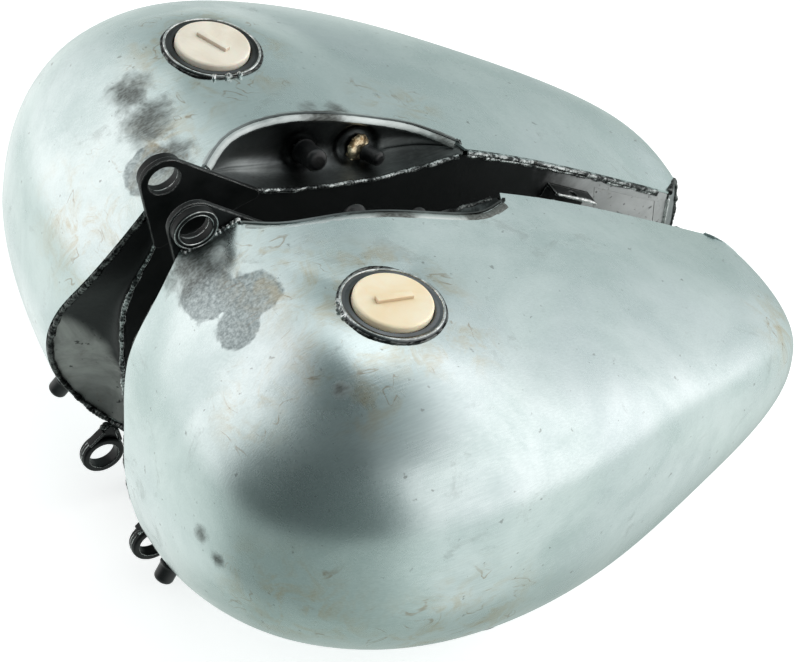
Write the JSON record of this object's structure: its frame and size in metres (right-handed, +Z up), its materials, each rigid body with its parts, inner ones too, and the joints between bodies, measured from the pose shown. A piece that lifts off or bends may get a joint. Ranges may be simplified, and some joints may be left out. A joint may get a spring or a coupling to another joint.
{
  "type": "split fuel tank",
  "caption": "Pair of split teardrop motorcycle fuel tank halves in bare steel, with screw filler plugs, front mounting eyes and a recess for a dash.",
  "frame": {"origin": "on the ground plane under the middle of the pair", "axes": "+X forward to the steering head, +Y the left half, +Z up; the halves rest on their bellies"},
  "size_m": [0.4675, 0.5112, 0.2875],
  "materials": {
    "brushed_skin": "bare pressed sheet, finely brushed, with water marks and grey oxide",
    "dark_sheet": "dark mill scale",
    "pocket_steel": "dark smooth pressing with a bright rim",
    "neck_steel": "turned steel, grey oxide",
    "black_rubber": "soft black rubber",
    "ivory_plastic": "cream moulded plastic",
    "black_plate": "black mill scale with bright worn edges",
    "braze_gold": "rough braze metal"
  },
  "bodies": {
    "left_half": {"left_outer_shell": "brushed_skin", "left_inner_panel": "dark_sheet", "left_front_panel": "dark_sheet", "left_tail_plate": "dark_sheet", "left_dash_pocket": "pocket_steel", "left_filler_neck": "neck_steel", "left_upper_ear": "black_plate", "left_upper_bush": "black_plate", "left_lower_ear": "black_plate", "left_lower_ring": "black_plate", "left_console_bracket": "black_plate", "left_vent_nipple": "neck_steel", "left_gauge_boss": "braze_gold", "left_gauge_tube": "neck_steel", "left_crossover_nipple": "neck_steel", "left_petcock_bung": "neck_steel", "left_front_baffle": "dark_sheet", "left_rear_baffle": "dark_sheet", "left_stand_pipe": "neck_steel"},
    "right_half": {"right_outer_shell": "brushed_skin", "right_inner_panel": "dark_sheet", "right_front_panel": "dark_sheet", "right_tail_plate": "dark_sheet", "right_dash_pocket": "pocket_steel", "right_filler_neck": "neck_steel", "right_upper_ear": "black_plate", "right_upper_bush": "black_plate", "right_lower_ear": "black_plate", "right_lower_ring": "black_plate", "right_console_bracket": "black_plate", "right_vent_nipple": "neck_steel", "right_gauge_boss": "braze_gold", "right_gauge_tube": "neck_steel", "right_crossover_nipple": "neck_steel", "right_petcock_bung": "neck_steel", "right_front_baffle": "dark_sheet", "right_rear_baffle": "dark_sheet", "right_stand_pipe": "neck_steel"},
    "left_plug_seal": {"left_filler_gasket": "black_rubber"},
    "left_plug": {"left_filler_plug": "ivory_plastic"},
    "left_vent_cap_body": {"left_vent_cap": "black_rubber"},
    "left_gauge_cap_body": {"left_gauge_cap": "black_rubber"},
    "left_crossover_cap_body": {"left_crossover_cap": "black_rubber"},
    "left_petcock_plug_body": {"left_petcock_plug": "black_rubber"},
    "right_plug_seal": {"right_filler_gasket": "black_rubber"},
    "right_plug": {"right_filler_plug": "ivory_plastic"},
    "right_vent_cap_body": {"right_vent_cap": "black_rubber"},
    "right_gauge_cap_body": {"right_gauge_cap": "black_rubber"},
    "right_crossover_cap_body": {"right_crossover_cap": "black_rubber"},
    "right_petcock_plug_body": {"right_petcock_plug": "black_rubber"}
  },
  "joints": [
    {"name": "halves_apart", "type": "slide", "parent": "left_half", "child": "right_half", "axis": [0, -1, 0], "range_m": [0, 0.12]},
    {"name": "left_plug_lift", "type": "slide", "parent": "left_half", "child": "left_plug_seal", "axis": [-0.2055, 0, 0.9787], "range_m": [0, 0.03]},
    {"name": "left_plug_turn", "type": "hinge", "parent": "left_plug_seal", "child": "left_plug", "pos_m": [0.0814, 0.1291, 0.265], "axis": [-0.2055, 0, 0.9787], "range_deg": [0, 1800]},
    {"name": "left_vent_cap_pull", "type": "slide", "parent": "left_half", "child": "left_vent_cap_body", "axis": [-0.0501, -0.9524, 0.3008], "range_m": [0, 0.016]},
    {"name": "left_gauge_cap_pull", "type": "slide", "parent": "left_half", "child": "left_gauge_cap_body", "axis": [-0.3598, -0.9296, 0.08], "range_m": [0, 0.014]},
    {"name": "left_crossover_cap_pull", "type": "slide", "parent": "left_half", "child": "left_crossover_cap_body", "axis": [0.6074, 0.1349, -0.7829], "range_m": [0, 0.018]},
    {"name": "left_petcock_plug_pull", "type": "slide", "parent": "left_half", "child": "left_petcock_plug_body", "axis": [0.0667, 0.5595, -0.8261], "range_m": [0, 0.013]},
    {"name": "right_plug_lift", "type": "slide", "parent": "right_half", "child": "right_plug_seal", "axis": [-0.2055, 0, 0.9787], "range_m": [0, 0.03]},
    {"name": "right_plug_turn", "type": "hinge", "parent": "right_plug_seal", "child": "right_plug", "pos_m": [0.0814, -0.1291, 0.265], "axis": [-0.2055, 0, 0.9787], "range_deg": [0, 1800]},
    {"name": "right_vent_cap_pull", "type": "slide", "parent": "right_half", "child": "right_vent_cap_body", "axis": [-0.0501, 0.9524, 0.3008], "range_m": [0, 0.016]},
    {"name": "right_gauge_cap_pull", "type": "slide", "parent": "right_half", "child": "right_gauge_cap_body", "axis": [-0.3598, 0.9296, 0.08], "range_m": [0, 0.014]},
    {"name": "right_crossover_cap_pull", "type": "slide", "parent": "right_half", "child": "right_crossover_cap_body", "axis": [0.6074, -0.1349, -0.7829], "range_m": [0, 0.018]},
    {"name": "right_petcock_plug_pull", "type": "slide", "parent": "right_half", "child": "right_petcock_plug_body", "axis": [0.0667, -0.5595, -0.8261], "range_m": [0, 0.013]}
  ],
  "couplings": [
    {"joint": "left_plug_turn", "follows": "left_plug_lift", "rad_per_m": 1047.2},
    {"joint": "right_plug_turn", "follows": "right_plug_lift", "rad_per_m": 1047.2}
  ]
}
